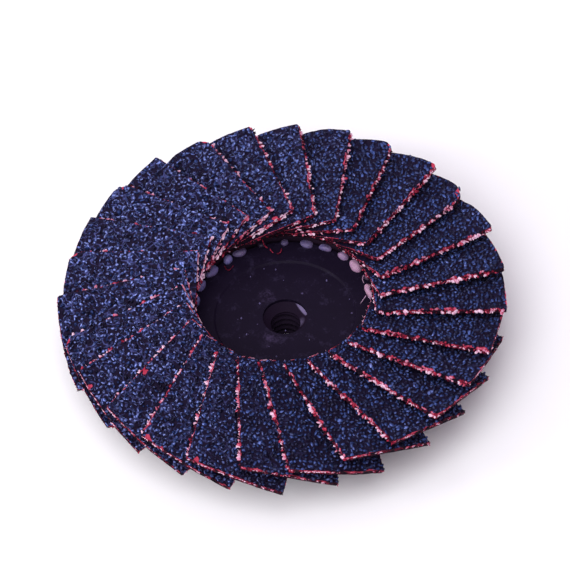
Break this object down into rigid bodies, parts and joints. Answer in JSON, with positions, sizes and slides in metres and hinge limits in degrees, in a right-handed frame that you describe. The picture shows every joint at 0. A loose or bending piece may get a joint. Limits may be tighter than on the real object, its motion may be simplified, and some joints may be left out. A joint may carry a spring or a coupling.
{
  "type": "flap disc",
  "caption": "Small abrasive flap disc: overlapping coarse cloth flaps fanned round a black moulded plate, on a threaded steel bush.",
  "frame": {"origin": "on the disc's axis, in the flat end of the threaded bush that seats on the drive shaft's shoulder", "axes": "+Z along the axis out of the grinding face, so the flaps lie above the plate; -Y is the side nearest the viewer, and the first flap points that way; the flaps lap anticlockwise seen from +Z"},
  "size_m": [0.0759, 0.0754, 0.0167],
  "materials": {
    "abrasive_cloth": "coarse blue-black mineral grain in resin on a red cloth backing",
    "plate_nylon": "satin, dusty",
    "epoxy": "cloudy set adhesive",
    "bush_steel": "turned, satin"
  },
  "bodies": {
    "root": {"threaded_bush": "bush_steel", "backing_plate": "plate_nylon", "adhesive_bed": "epoxy", "flap_01": "abrasive_cloth", "flap_02": "abrasive_cloth", "flap_03": "abrasive_cloth", "flap_04": "abrasive_cloth", "flap_05": "abrasive_cloth", "flap_06": "abrasive_cloth", "flap_07": "abrasive_cloth", "flap_08": "abrasive_cloth", "flap_09": "abrasive_cloth", "flap_10": "abrasive_cloth", "flap_11": "abrasive_cloth", "flap_12": "abrasive_cloth", "flap_13": "abrasive_cloth", "flap_14": "abrasive_cloth", "flap_15": "abrasive_cloth", "flap_16": "abrasive_cloth", "flap_17": "abrasive_cloth", "flap_18": "abrasive_cloth", "flap_19": "abrasive_cloth", "flap_20": "abrasive_cloth", "flap_21": "abrasive_cloth", "flap_22": "abrasive_cloth", "flap_23": "abrasive_cloth", "flap_24": "abrasive_cloth", "flap_25": "abrasive_cloth", "flap_26": "abrasive_cloth", "flap_27": "abrasive_cloth"}
  },
  "joints": []
}
